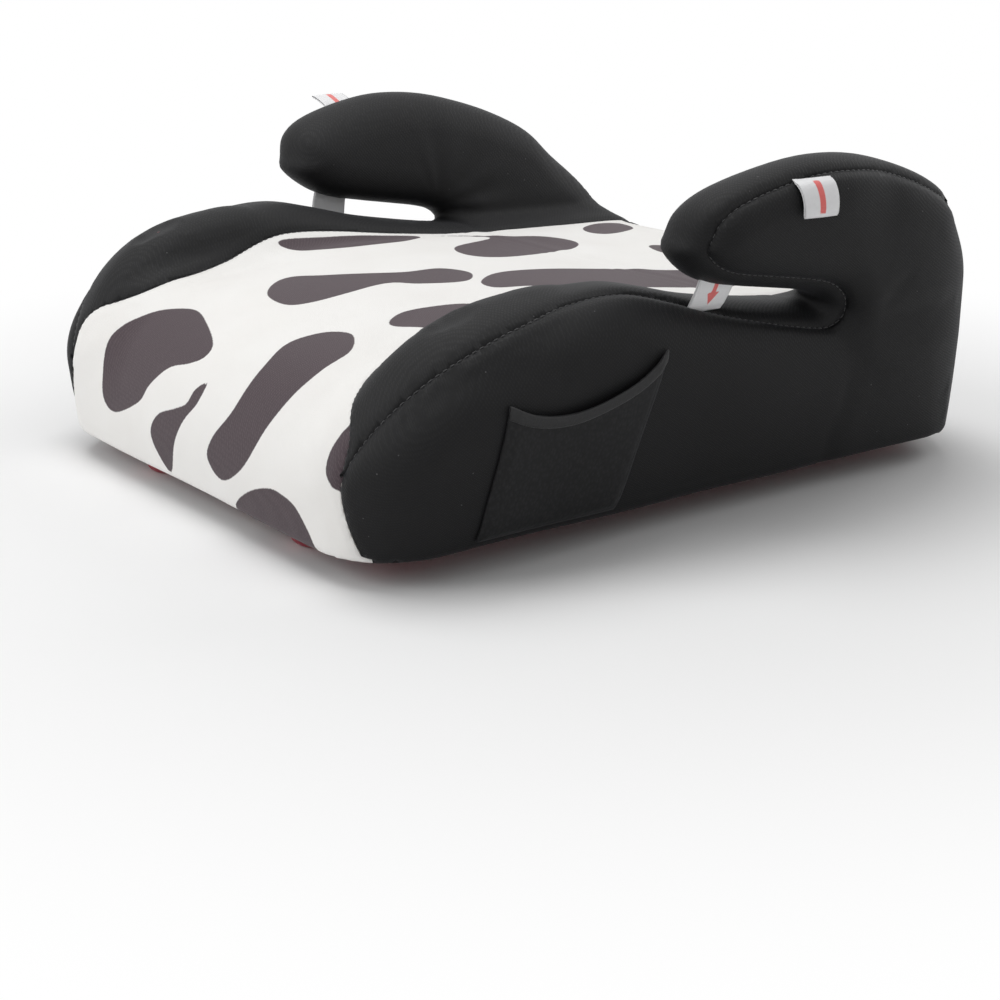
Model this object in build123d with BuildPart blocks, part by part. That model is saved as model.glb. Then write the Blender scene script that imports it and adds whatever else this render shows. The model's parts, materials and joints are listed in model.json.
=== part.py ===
"""Backless child booster seat: a moulded base with two belt horns, foam and a sewn stretch cover.

Millimetres, +Z up. The origin is the middle of the floor under the seat, the front faces -Y,
and the left and right of the object are those of the child who sits in it.
"""
from build123d import *
import math
import os

os.makedirs("parts", exist_ok=True)

# Overall sizes
seat_depth = 392
hem_width = 294                # across the two sides, at the bottom edge of the cover
hem_height = 12                # the cover ends here and the feet reach down to the floor
flare_angle = 15.9             # the sides and arms lean outwards
back_corner_radius = 120

# Heights above the floor
roll_height = 98               # front roll of the seat
seat_back_height = 90          # rear of the seat
side_roll_height = 118         # crest of the rolls beside the thighs
arm_height = 169               # top of the belt horns
seat_half_width = 117          # from the middle to the seam beside the seat

# Sides and arms, measured square to the leaning side
side_thickness = 58
side_outer_round = 34
side_inner_round = 22
arm_thickness = 42
arm_round = 14
arm_proud = 4                  # the horns stand out past the sides by this much
arm_reach = 152                # from the front of the seat to the tip of a horn
belt_gap = 23                  # height of the closed end of the belt gap
belt_gap_end = 103             # from the tip of a horn to the closed end of the gap
side_seam_depth = 17           # the side seam lies this far in from the outer side

# Sewn cover, foam and shell
cover_thickness = 2.5
fit_clearance = 0.3
seat_foam_thickness = 12
arm_foam_thickness = 7
shell_wall = 2.5
groove_width = 24              # grooves in the floor of the base
groove_depth = 7
groove_length = 220
groove_places = [-100, 0, 100]
vent_diameter = 9              # hole left by the blowing needle
vent_place = 50
hem_fold_width = 10
hem_fold_thickness = 2
elastic_diameter = 2
foot_diameter = 26
foot_rounding = 6
foot_spread = 142              # between the middles of a left and a right foot
rear_foot_setback = 14         # the rear feet stand this much further in from the edge

# Side pocket
pocket_front = 50              # from the front of the seat to the front edge of the pocket
pocket_width = 88
pocket_height = 62
pocket_pouch = 7
pocket_sheet = 1.2
binding_width = 7
binding_thickness = 1.2

# Labels sewn into the seams
tag_thickness = 0.8
arm_tag_width = 20
arm_tag_length = 17
belt_tag_width = 22
belt_tag_length = 19
belt_tag_depth = 12            # how far in from the outer side of a horn the label hangs

front = -seat_depth / 2
back = seat_depth / 2
below = -60                    # cutting bodies start well under the hem
wide = 260
lean = math.radians(flare_angle)
side_plane = Plane(
    origin=(hem_width / 2, 0, 0),
    x_dir=(0, 1, 0),
    z_dir=(math.cos(lean), 0, -math.sin(lean)),
)
tip = front + arm_reach


def on_side(y, z, rise=0):
    """A point of the leaning side plane, where a slab's crest stands higher by its rise."""
    return (y, (z - rise) / math.cos(lean))


def crest_rise(thickness, rounding):
    """How much higher the crest of a leaning slab stands than the edge of its outer face."""
    return (thickness - rounding) * math.sin(lean) + rounding * (1 - math.cos(lean))


def outer_x(z):
    """How far out the leaning side plane is at a height."""
    return hem_width / 2 + z * math.tan(lean)


def box_between(low, high):
    """A plain box between two corners."""
    with BuildPart() as made:
        with Locations([tuple((a + b) / 2 for a, b in zip(low, high))]):
            Box(*[b - a for a, b in zip(low, high)])
    return made.part


def seat_block(inset, drop=0):
    """The middle of the seat between the two sides, with its top set down by a drop."""
    corners = [
        (front, below),
        (front, roll_height - 12 - drop),
        (front + 128, roll_height + 1 - drop),
        (back - 110, seat_back_height - 2 - drop),
        (back, seat_back_height - 4 - drop),
        (back, below),
    ]
    half_width = seat_half_width + 3
    with BuildPart() as made:
        with BuildSketch(Plane.YZ.offset(-half_width)):
            with BuildLine():
                FilletPolyline(*corners, radius=[0, 56, 200, 300, 34, 0], close=True)
            make_face()
            if inset:
                offset(amount=-inset)
        extrude(amount=2 * half_width)
    return made.part


def low_side_corners():
    """Outline of a side under the belt gap, seen square to the side."""
    gap_end = tip + belt_gap_end
    rise = crest_rise(side_thickness, side_inner_round)
    return [
        on_side(front, below),
        on_side(front, side_roll_height - 10, rise),
        on_side(front + 104, side_roll_height + 3, rise),
        on_side(gap_end - 6, side_roll_height - 31, rise),
        on_side(back, side_roll_height - 42, rise),
        on_side(back, below),
    ]


def arm_corners():
    """Outline of a horn and of its root at the back of the seat, seen square to the side."""
    gap_end = tip + belt_gap_end
    gap_floor = side_roll_height - 32
    rise = crest_rise(arm_thickness, arm_round)
    return [
        on_side(tip - 1, arm_height - 33, rise),
        on_side(tip + 3, arm_height - 12, rise),
        on_side(tip + 70, arm_height + 4, rise),
        on_side(back - 101, arm_height - 11, rise),
        on_side(back - 46, arm_height - 48, rise),
        on_side(back + 20, arm_height - 117, rise),
        on_side(back + 20, below - 20),
        on_side(gap_end, below - 20),
        on_side(gap_end, gap_floor + belt_gap, rise),
        on_side(tip + 20, gap_floor + belt_gap + 13, rise),
    ]


def side_slab(corners, radii, thickness, outer_round, inner_round, proud, inset):
    """A slab along the leaning side plane with rounded outer and inner edges, on the +X side."""
    outer_round = min(outer_round, 0.6 * thickness)
    inner_round = min(inner_round, 0.39 * thickness)
    with BuildPart() as made:
        with BuildSketch(side_plane.offset(proud - inset)):
            with BuildLine():
                FilletPolyline(*corners, radius=radii, close=True)
            make_face()
            if inset:
                offset(amount=-inset)
        extrude(amount=-(thickness - 2 * inset))
        across = Axis((0, 0, 0), side_plane.z_dir)
        faces = made.faces().sort_by(across)
        open_edges = [e for e in faces[-1].edges() if e.bounding_box().max.Z > hem_height]
        if outer_round > inset + 1:
            fillet(open_edges, outer_round - inset)
        faces = made.faces().sort_by(across)
        open_edges = [e for e in faces[0].edges() if e.bounding_box().max.Z > hem_height]
        if inner_round > inset + 1:
            fillet(open_edges, inner_round - inset)
    return made.part


def low_side(inset):
    """The side under the belt gap."""
    return side_slab(
        low_side_corners(), [0, 86, 70, 150, 42, 0], side_thickness, side_outer_round,
        side_inner_round, 0, inset,
    )


def arm(inset):
    """A belt horn with its root."""
    return side_slab(
        arm_corners(), [15, 17, 90, 90, 60, 60, 0, 0, 11, 30], arm_thickness, arm_round,
        arm_round, arm_proud, inset,
    )


def plan_prism(inset, bottom, top):
    """Everything inside the outline of the seat from above, whose rear corners are rounded."""
    half_width = outer_x(arm_height - 33) + arm_proud
    with BuildPart() as made:
        with BuildSketch(Plane.XY.offset(bottom)):
            with BuildLine():
                FilletPolyline(
                    (-half_width, front),
                    (half_width, front),
                    (half_width, back),
                    (-half_width, back),
                    radius=[0, 0, back_corner_radius, back_corner_radius],
                    close=True,
                )
            make_face()
            if inset:
                offset(amount=-inset)
        extrude(amount=top - bottom)
    return made.part


def both_sides(solid):
    """A solid of the +X side with its mirror image."""
    with BuildPart() as made:
        add(solid)
        mirror(about=Plane.YZ)
    return made.part


def padded_body(inset, with_arms, bottom):
    """The whole padded form, drawn in by an inset, from a bottom height upwards."""
    with BuildPart() as made:
        add(seat_block(inset))
        add(both_sides(low_side(inset)))
        if with_arms:
            add(both_sides(arm(inset)))
        add(plan_prism(inset, bottom, arm_height + 20), mode=Mode.INTERSECT)
    return made.part


# %% Cover: one shell, cut along its seams into the panels that are sewn together
with BuildPart() as cover:
    add(padded_body(0, True, hem_height))
    add(padded_body(cover_thickness, True, below + 20), mode=Mode.SUBTRACT)

with BuildPart() as outer_layer:
    with BuildSketch(side_plane.offset(30)):
        with Locations((0, wide / 2 - 40)):
            Rectangle(seat_depth + 80, wide)
    extrude(amount=-(side_seam_depth + 30))

rear_seam = back - 26
seat_zone = box_between((-seat_half_width, front - 40, -20), (seat_half_width, rear_seam, wide))
rear_zone = box_between((-seat_half_width, rear_seam, -20), (seat_half_width, back + 40, wide))
side_zone = box_between((seat_half_width, front - 40, -20), (wide, back + 40, wide))

with BuildPart() as centre_panel:
    add(cover.part)
    add(seat_zone, mode=Mode.INTERSECT)
centre_panel.part.label = "centre_panel"

with BuildPart() as back_panel:
    add(cover.part)
    add(rear_zone, mode=Mode.INTERSECT)
back_panel.part.label = "back_panel"

with BuildPart() as inner_panel_left:
    add(cover.part)
    add(side_zone, mode=Mode.INTERSECT)
    add(outer_layer.part, mode=Mode.SUBTRACT)
inner_panel_left.part.label = "inner_panel_left"

with BuildPart() as side_panel_left:
    add(cover.part)
    add(side_zone, mode=Mode.INTERSECT)
    add(outer_layer.part, mode=Mode.INTERSECT)
side_panel_left.part.label = "side_panel_left"

# %% Hem: the cover's lower edge folded under the base, with an elastic cord at its inner edge
fold_top = hem_height + hem_fold_thickness


def hem_opening(margin, bottom, top):
    """The opening that the folded hem leaves under the seat, drawn in by a margin."""
    half_width = hem_width / 2 - hem_fold_width
    with BuildPart() as made:
        with BuildSketch(Plane.XY.offset(bottom)):
            with BuildLine():
                FilletPolyline(
                    (-half_width, front + hem_fold_width),
                    (half_width, front + hem_fold_width),
                    (half_width, back - hem_fold_width),
                    (-half_width, back - hem_fold_width),
                    radius=[30, 30, back_corner_radius - 20, back_corner_radius - 20],
                    close=True,
                )
            make_face()
            if margin:
                offset(amount=-margin)
        extrude(amount=top - bottom)
    return made.part


with BuildPart() as hem_fold:
    add(padded_body(cover_thickness, False, hem_height))
    split(bisect_by=Plane.XY.offset(fold_top), keep=Keep.BOTTOM)
    add(hem_opening(0, hem_height - 5, fold_top + 5), mode=Mode.SUBTRACT)
hem_fold.part.label = "hem_fold"

with BuildPart() as hem_elastic:
    add(hem_opening(fit_clearance, hem_height, hem_height + elastic_diameter))
    add(
        hem_opening(fit_clearance + elastic_diameter, hem_height - 5, fold_top + 5),
        mode=Mode.SUBTRACT,
    )
hem_elastic.part.label = "hem_elastic"

# %% Base: one hollow blown moulding with its feet, its horns and grooves that stiffen its floor
shell_inset = cover_thickness + fit_clearance
seat_drop = seat_foam_thickness + fit_clearance
core_inset = shell_inset + arm_foam_thickness + fit_clearance
floor_height = fold_top + fit_clearance
front_foot_edge = hem_fold_width + 2 * fit_clearance + elastic_diameter
front_foot_y = front + front_foot_edge + foot_diameter / 2
rear_foot_y = -front_foot_y - rear_foot_setback


def moulding(inset):
    """The outside of the base at its shell inset, and the inside of its wall one wall further in."""
    floor = floor_height + inset - shell_inset
    foot_radius = foot_diameter / 2 - inset + shell_inset
    foot_bottom = inset - shell_inset
    with BuildPart() as made:
        add(seat_block(inset, seat_drop))
        add(both_sides(low_side(inset)))
        add(both_sides(arm(inset + core_inset - shell_inset)))
        add(plan_prism(inset, floor, arm_height), mode=Mode.INTERSECT)
        with BuildSketch(Plane.XY.offset(floor)):
            for y in groove_places:
                with Locations((0, y)):
                    SlotOverall(groove_length + 2 * foot_bottom, groove_width + 2 * foot_bottom)
        extrude(amount=groove_depth, mode=Mode.SUBTRACT)
    with BuildPart() as feet:
        with BuildSketch(Plane.XY.offset(foot_bottom)):
            for y in (front_foot_y, rear_foot_y):
                with Locations((-foot_spread / 2, y), (foot_spread / 2, y)):
                    Circle(foot_radius)
        extrude(amount=floor_height + 5)
        bottoms = feet.faces().filter_by(Axis.Z).group_by(Axis.Z)[0]
        fillet(bottoms.edges(), foot_rounding)
    with BuildPart() as whole:
        add(made.part)
        add(feet.part)
    return whole.part


with BuildPart() as base_shell:
    add(moulding(shell_inset))
    add(moulding(shell_inset + shell_wall), mode=Mode.SUBTRACT)
    with BuildSketch(Plane.XY.offset(floor_height)):
        with Locations((0, vent_place)):
            Circle(vent_diameter / 2)
    extrude(amount=2 * shell_wall, mode=Mode.SUBTRACT)
base_shell.part.label = "base_shell"

# %% Foam: a seat pad and a sleeve round each horn
foam_margin = 16
with BuildPart() as seat_foam:
    add(seat_block(shell_inset))
    add(seat_block(shell_inset, seat_foam_thickness), mode=Mode.SUBTRACT)
    add(both_sides(low_side(cover_thickness)), mode=Mode.SUBTRACT)
    add(
        box_between((-wide, front + foam_margin, 0), (wide, back - foam_margin, wide)),
        mode=Mode.INTERSECT,
    )
    add(plan_prism(core_inset, 0, wide), mode=Mode.INTERSECT)
seat_foam.part.label = "seat_foam"

with BuildPart() as arm_foam_left:
    add(arm(shell_inset))
    add(arm(shell_inset + arm_foam_thickness), mode=Mode.SUBTRACT)
    add(low_side(cover_thickness), mode=Mode.SUBTRACT)
    add(seat_block(cover_thickness), mode=Mode.SUBTRACT)
    add(plan_prism(shell_inset, seat_back_height, wide), mode=Mode.INTERSECT)
arm_foam_left.part.label = "arm_foam_left"

# %% Side pocket: a stretch pouch on the side, open at the top, with a bound upper edge
pocket_rear = front + pocket_front + pocket_width
pocket_bottom = hem_height + 5
pocket_top = pocket_bottom + pocket_height
pocket_rise = 13               # the upper edge climbs towards the rear
pocket_dip = 8                 # and hangs in a curve between its ends


def pocket_outline(margin, lift):
    """The pocket seen square to the side, drawn in by a margin and lifted at its upper edge."""
    low_front = on_side(front + pocket_front - 5 + margin, pocket_bottom + margin)
    high_front = on_side(front + pocket_front + margin, pocket_top + lift)
    high_rear = on_side(pocket_rear - margin, pocket_top + pocket_rise + lift)
    low_rear = on_side(pocket_rear - 16 - margin, pocket_bottom + margin)
    middle = on_side(
        front + pocket_front + pocket_width / 2, pocket_top + pocket_rise / 2 - pocket_dip + lift
    )
    with BuildLine() as made:
        Polyline(high_rear, low_rear, low_front, high_front)
        ThreePointArc(high_front, middle, high_rear)
    return made.line


def pocket_layer(outline, inner, outer):
    """A flat layer of the pocket between two distances from the side plane."""
    with BuildPart() as made:
        with BuildSketch(side_plane.offset(inner)):
            with BuildLine():
                add(outline)
            make_face()
        extrude(amount=outer - inner)
    return made.part


pocket_sink = 8
pocket_face = pocket_pouch + pocket_sheet
with BuildPart() as pocket_left:
    add(pocket_layer(pocket_outline(0, 0), -pocket_sink, pocket_face))
    add(
        pocket_layer(pocket_outline(pocket_sheet, 30), -pocket_sink - 5, pocket_pouch),
        mode=Mode.SUBTRACT,
    )
    add(low_side(-fit_clearance), mode=Mode.SUBTRACT)
pocket_left.part.label = "pocket_left"

with BuildPart() as pocket_binding_left:
    add(pocket_layer(pocket_outline(0, 0), pocket_face, pocket_face + binding_thickness))
    add(
        pocket_layer(pocket_outline(-20, -binding_width), pocket_pouch, pocket_face + 5),
        mode=Mode.SUBTRACT,
    )
pocket_binding_left.part.label = "pocket_binding_left"

# %% Labels: one sewn into the top of each horn, one hanging at the mouth of the belt gap
arm_tag_front = tip + 53
with BuildPart() as arm_tag_left:
    with BuildSketch(side_plane.offset(arm_proud + fit_clearance)):
        with Locations(on_side(arm_tag_front + arm_tag_width / 2, arm_height - 25)):
            Rectangle(arm_tag_width, arm_tag_length)
    extrude(amount=tag_thickness)
arm_tag_left.part.label = "arm_tag_left"

belt_tag_front = tip + 3
belt_tag_bottom = side_roll_height - 11
with BuildPart() as belt_tag_left:
    with BuildSketch(side_plane.offset(arm_proud - belt_tag_depth)):
        with Locations(on_side(belt_tag_front + belt_tag_width / 2, belt_tag_bottom)):
            Rectangle(belt_tag_width, 2 * belt_tag_length, align=(Align.CENTER, Align.MIN))
    extrude(amount=tag_thickness)
    add(arm(-fit_clearance), mode=Mode.SUBTRACT)
    split(bisect_by=Plane.XY.offset(arm_height - 30), keep=Keep.BOTTOM)
belt_tag_left.part.label = "belt_tag_left"

# %% The right side is the mirror image of the left
pairs = {
    "inner_panel": inner_panel_left,
    "side_panel": side_panel_left,
    "arm_foam": arm_foam_left,
    "pocket": pocket_left,
    "pocket_binding": pocket_binding_left,
    "arm_tag": arm_tag_left,
    "belt_tag": belt_tag_left,
}
single = [base_shell, seat_foam, centre_panel, back_panel, hem_fold, hem_elastic]

for piece in single:
    export_step(piece.part, f"parts/{piece.part.label}.step")
for name, piece in pairs.items():
    export_step(piece.part, f"parts/{name}_left.step")
    with BuildPart() as right:
        add(mirror(piece.part, about=Plane.YZ, mode=Mode.PRIVATE))
    right.part.label = f"{name}_right"
    export_step(right.part, f"parts/{name}_right.step")
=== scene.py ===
# %% [markdown]
# A backless booster seat: a hollow plastic base under foam and a sewn stretch cover.
# The construction arrives as a fixed frame. Every size below is read from that frame or is a
# named value in metres, so the soft cover grows round the same seat that was engineered.

import json
import math

import bpy
import numpy as np
from mathutils import Matrix, Vector
from mathutils.bvhtree import BVHTree
from mathutils.kdtree import KDTree

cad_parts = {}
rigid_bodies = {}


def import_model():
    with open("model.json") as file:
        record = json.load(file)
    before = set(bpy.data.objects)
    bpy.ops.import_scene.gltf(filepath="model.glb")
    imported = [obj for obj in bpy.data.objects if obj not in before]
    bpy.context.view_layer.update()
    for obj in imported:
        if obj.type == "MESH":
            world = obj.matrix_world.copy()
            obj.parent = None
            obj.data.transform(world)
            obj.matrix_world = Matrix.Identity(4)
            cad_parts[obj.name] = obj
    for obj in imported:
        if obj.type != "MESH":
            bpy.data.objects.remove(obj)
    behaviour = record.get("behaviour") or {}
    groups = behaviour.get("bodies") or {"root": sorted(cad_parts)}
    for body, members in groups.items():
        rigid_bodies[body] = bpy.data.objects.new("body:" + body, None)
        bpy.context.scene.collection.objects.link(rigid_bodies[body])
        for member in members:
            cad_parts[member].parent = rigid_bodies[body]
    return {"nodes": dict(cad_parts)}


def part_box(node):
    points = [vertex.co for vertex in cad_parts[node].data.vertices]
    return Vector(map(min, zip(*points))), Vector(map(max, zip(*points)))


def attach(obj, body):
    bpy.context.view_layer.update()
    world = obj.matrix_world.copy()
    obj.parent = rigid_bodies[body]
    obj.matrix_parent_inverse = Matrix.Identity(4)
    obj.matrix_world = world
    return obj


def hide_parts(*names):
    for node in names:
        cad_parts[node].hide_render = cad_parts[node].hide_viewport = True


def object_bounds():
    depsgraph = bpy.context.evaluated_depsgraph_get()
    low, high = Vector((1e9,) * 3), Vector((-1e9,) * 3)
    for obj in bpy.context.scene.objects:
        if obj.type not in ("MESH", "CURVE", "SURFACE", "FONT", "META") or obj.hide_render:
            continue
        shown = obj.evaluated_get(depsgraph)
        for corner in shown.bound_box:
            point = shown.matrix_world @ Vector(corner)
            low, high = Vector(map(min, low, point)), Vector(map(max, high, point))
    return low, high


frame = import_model()
cad_low, cad_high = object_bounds()
MM = 0.001
print("frame nodes:", len(frame["nodes"]))

# %% [markdown]
# The whole cover is pulled tight over foam, so its skin is one smooth, soft form. That form could
# be modelled with a subdivision cage, but the belt gap and the blends between arm, side roll and
# seat are hard to keep smooth by hand. Here it is written as a distance: a function that is
# negative inside the padding and zero on its skin. Rounded corners and soft valleys are then one
# formula each, with a radius in real units.

# %% Sizes of the padded form, from the frame
hem_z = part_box("centre_panel")[0].z
front_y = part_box("centre_panel")[0].y
back_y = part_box("back_panel")[1].y
rear_seam_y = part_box("centre_panel")[1].y
arm_top_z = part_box("inner_panel_left")[1].z
horn_tip_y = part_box("arm_foam_left")[0].y - 0.5 * MM

side_slope = 0.2849            # how far the sides lean out for each unit of height
side_foot_x = 0.1470           # where the leaning side would meet the floor
side_cos = math.cos(math.atan(side_slope))
roll_thickness = 0.059
roll_outer_round = 0.034
roll_inner_round = 0.020
arm_thickness = 0.042
arm_round = 0.0205
corner_radius = 0.120


# %% Small tools for distances
def round_meet(a, b, radius):
    """The overlap of two forms, with their shared edge rounded."""
    u = np.maximum(a + radius, 0.0)
    v = np.maximum(b + radius, 0.0)
    return np.minimum(np.maximum(a, b), -radius) + np.hypot(u, v)


def round_join(a, b, radius):
    """The union of two forms, with a soft valley between them."""
    u = np.maximum(radius - a, 0.0)
    v = np.maximum(radius - b, 0.0)
    return np.maximum(np.minimum(a, b), radius) - np.hypot(u, v)


def smooth_line(points, at):
    """A soft curve through a few (place, height) points, read at many places."""
    places, heights = np.array(points).T
    slopes = np.gradient(heights, places)
    at = np.clip(at, places[0], places[-1])
    i = np.clip(np.searchsorted(places, at) - 1, 0, len(places) - 2)
    span = places[i + 1] - places[i]
    t = (at - places[i]) / span
    rise = heights[i] * (1 + 2 * t) * (1 - t) ** 2 + heights[i + 1] * t * t * (3 - 2 * t)
    return rise + span * (slopes[i] * t * (1 - t) ** 2 - slopes[i + 1] * t * t * (1 - t))


def smooth_loop(points, steps):
    """A closed soft curve through a few points, as a fine polygon."""
    p = np.array(points, float)
    t = np.arange(steps)[:, None] / steps
    before, start = np.roll(p, 1, axis=0), p
    end, after = np.roll(p, -1, axis=0), np.roll(p, -2, axis=0)
    runs = [
        0.5 * (2 * s + (e - b) * t + (2 * b - 5 * s + 4 * e - a) * t**2
               + (3 * s - b - 3 * e + a) * t**3)
        for b, s, e, a in zip(before, start, end, after)
    ]
    return np.concatenate(runs)


def polygon_distance(loop, u, v):
    """Signed distance from points (u, v) to a closed polygon, negative inside."""
    best = np.full(u.shape, 1e9)
    inside = np.zeros(u.shape, bool)
    for (ax, ay), (bx, by) in zip(loop, np.roll(loop, -1, axis=0)):
        ex, ey = bx - ax, by - ay
        du, dv = u - ax, v - ay
        t = np.clip((du * ex + dv * ey) / (ex * ex + ey * ey + 1e-12), 0, 1)
        best = np.minimum(best, (du - t * ex) ** 2 + (dv - t * ey) ** 2)
        crosses = (ay > v) != (by > v)
        if ay != by:
            inside ^= crosses & (u < ex * (v - ay) / ey + ax)
    return np.where(inside, -1, 1) * np.sqrt(best)


# %% [markdown]
# Four curves set the side view: the seat's top, the roll beside the thigh, and the outline of the
# arm with its hooked horn. They are the lines that a pattern cutter would draw first. Each is
# written with only the points that its shape needs.

# %% Side-view curves
seat_line = [
    (front_y, 0.0800), (-0.150, 0.0865), (-0.120, 0.0910), (-0.090, 0.0955), (-0.060, 0.0975),
    (0.000, 0.0950), (0.060, 0.0910), (0.120, 0.0898), (0.160, 0.0890), (back_y, 0.0850),
]
roll_line = [
    (front_y, 0.0775), (-0.178, 0.0850), (-0.160, 0.0935), (-0.144, 0.1000), (-0.122, 0.1080),
    (-0.100, 0.1150), (-0.084, 0.1178), (-0.066, 0.1182), (-0.040, 0.1130),
    (-0.010, 0.1045), (0.030, 0.0955), (0.060, 0.0905), (0.120, 0.0880), (back_y, 0.0850),
]
horn = horn_tip_y
arm_outline = smooth_loop([
    (horn, 0.1390), (horn + 0.004, 0.1500), (horn + 0.016, 0.1585), (horn + 0.040, 0.1655),
    (horn + 0.066, arm_top_z), (horn + 0.093, arm_top_z - 0.0010),
    (horn + 0.118, arm_top_z - 0.0062), (horn + 0.145, arm_top_z - 0.0150),
    (horn + 0.168, arm_top_z - 0.0265), (0.142, 0.1280), (0.165, 0.1080), (0.186, 0.0840),
    (0.206, 0.0550), (0.206, -0.0200), (0.078, -0.0200), (0.070, 0.0550), (0.063, 0.0880),
    (0.054, 0.1000), (0.042, 0.1050), (0.024, 0.1085), (0.000, 0.1125), (-0.018, 0.1160),
    (-0.031, 0.1215), (-0.042, 0.1310),
], 4)


# %% The padded form as one distance
def side_x(z):
    """How far out the leaning side stands at a height."""
    return side_foot_x + side_slope * z


def plan_distance(x, y):
    """Distance to the outline seen from above, whose rear corners are widely rounded."""
    qx = x - (side_x(arm_top_z - 0.033) + 0.0045 - corner_radius)
    qy = y - (back_y + 0.002 - corner_radius)
    ahead = np.minimum(qy, 0)
    plan = np.hypot(np.maximum(qx, 0), np.maximum(qy, 0)) + np.minimum(np.maximum(qx, qy), 0)
    return plan - corner_radius - 0.8 * ahead * ahead / (0.06 - ahead)


def padding(p):
    """Distance from points to the skin of the padded seat, negative inside."""
    x, y, z = np.abs(p[:, 0]), p[:, 1], p[:, 2]
    out = (x - side_x(z)) * side_cos
    fuller = 0.0080 * np.clip((-0.110 - y) / 0.06, 0, 1)
    roll = round_meet((z - smooth_line(roll_line, y)) * 0.94, -(out + roll_thickness + fuller),
                      roll_inner_round)
    skin = round_join((z - smooth_line(seat_line, y)) * 0.98, roll, 0.014)
    skin = round_meet(skin, front_y - y, 0.052)
    skin = round_meet(skin, y - back_y, 0.032)
    skin = round_meet(skin, out, roll_outer_round)

    near = x > 0.09
    arm = np.full(x.shape, 0.05)
    outline = polygon_distance(arm_outline, y[near], z[near])
    sunk = 0.006 * np.clip((0.100 - z[near]) / 0.04, 0, 1) - 0.001
    across = np.abs(out[near] + sunk + arm_thickness / 2) - arm_thickness / 2
    arm[near] = round_meet(outline, across, arm_round)
    skin = round_join(skin, arm, 0.011)

    skin = round_meet(skin, plan_distance(x, y), 0.012)
    return round_meet(skin, hem_z - z, 0.0045)


# %% [markdown]
# To turn the distance into a mesh, a grid of small cells is laid through it. Each cell that the
# skin passes through gets one point, and neighbours are joined into quads. This is the surface-net
# method: it gives even, nearly square faces that take cloth, displacement and smoothing well.

# %% Mesh from a distance
def surface_net(distance, low, high, cell):
    """Points and quads on the zero surface of a distance, from a grid of cells."""
    axes = [np.arange(a, b + cell, cell) for a, b in zip(low, high)]
    grid = np.stack(np.meshgrid(*axes, indexing="ij"), -1)
    values = distance(grid.reshape(-1, 3)).reshape(grid.shape[:3])
    inside = values < 0
    shape = tuple(n - 1 for n in values.shape)
    total, count = np.zeros(shape + (3,)), np.zeros(shape)
    crossings = []
    for axis in range(3):
        lead = [slice(None)] * 3
        lead[axis] = slice(1, None)
        rear = [slice(None)] * 3
        rear[axis] = slice(None, -1)
        lead, rear = tuple(lead), tuple(rear)
        cut = inside[lead] != inside[rear]
        t = np.where(cut, values[rear] / np.where(cut, values[rear] - values[lead], 1), 0)
        place = grid[rear] + (grid[lead] - grid[rear]) * t[..., None]
        crossings.append((cut, inside[rear]))
        b, c = [a for a in range(3) if a != axis]
        for ob in (0, 1):
            for oc in (0, 1):
                pick = [slice(None)] * 3
                pick[b] = slice(ob, ob + shape[b])
                pick[c] = slice(oc, oc + shape[c])
                pick = tuple(pick)
                total += np.where(cut[pick][..., None], place[pick], 0)
                count += cut[pick]
    used = count > 0
    number = np.full(shape, -1)
    number[used] = np.arange(used.sum())
    points = total[used] / count[used][:, None]
    quads = []
    for axis, (cut, starts_inside) in enumerate(crossings):
        b, c = [a for a in range(3) if a != axis]
        at = np.argwhere(cut)
        ok = (at[:, b] > 0) & (at[:, c] > 0) & (at[:, b] < shape[b]) & (at[:, c] < shape[c])
        at = at[ok]
        corner = []
        for ob, oc in ((1, 1), (0, 1), (0, 0), (1, 0)):
            cell_at = at.copy()
            cell_at[:, b] -= ob
            cell_at[:, c] -= oc
            corner.append(number[tuple(cell_at.T)])
        quad = np.stack(corner, 1)
        flip = starts_inside[tuple(at.T)] == (axis == 1)
        quad[flip] = quad[flip][:, ::-1]
        quads.append(quad)
    return points, np.concatenate(quads)


def slopes_of(distance, p, step=2e-4):
    """The direction in which a distance grows, at each point."""
    grads = []
    for axis in range(3):
        move = np.zeros(3)
        move[axis] = step
        grads.append((distance(p + move) - distance(p - move)) / (2 * step))
    return np.stack(grads, 1)


def onto_skin(p, rounds=2):
    """Points moved onto the skin of the padding."""
    for _ in range(rounds):
        g = slopes_of(padding, p)
        size = np.maximum((g * g).sum(1), 0.2)
        p = p - g * (padding(p) / size)[:, None]
    return p


cell = 0.0045
reach = 0.012
half_steps = math.ceil((cad_high.x + reach) / cell)
low_corner = (-half_steps * cell, front_y - reach, hem_z - reach)
points, quads = surface_net(
    padding, low_corner, (half_steps * cell, back_y + reach, arm_top_z + reach), cell
)
print("first net:", len(points), "points")

# %% [markdown]
# The net is even but slightly lumpy, so its points are relaxed: each moves towards the middle of
# its neighbours and is then put back on the skin. Cutting every face in four gives two-millimetre
# cloth, fine enough for seams and soft wrinkles in real geometry.

# %% Relax and refine the net
def relaxed(p, faces, rounds):
    """Points evened out along the skin."""
    edges = np.concatenate([faces[:, [i, (i + 1) % 4]] for i in range(4)])
    for _ in range(rounds):
        total, count = np.zeros_like(p), np.zeros(len(p))
        np.add.at(total, edges[:, 0], p[edges[:, 1]])
        np.add.at(count, edges[:, 0], 1)
        np.add.at(total, edges[:, 1], p[edges[:, 0]])
        np.add.at(count, edges[:, 1], 1)
        p = onto_skin(0.5 * p + 0.5 * total / count[:, None], 1)
    return p


def mesh_points(mesh):
    """The points of a mesh as an array."""
    p = np.empty(len(mesh.vertices) * 3)
    mesh.vertices.foreach_get("co", p)
    return p.reshape(-1, 3)


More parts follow.
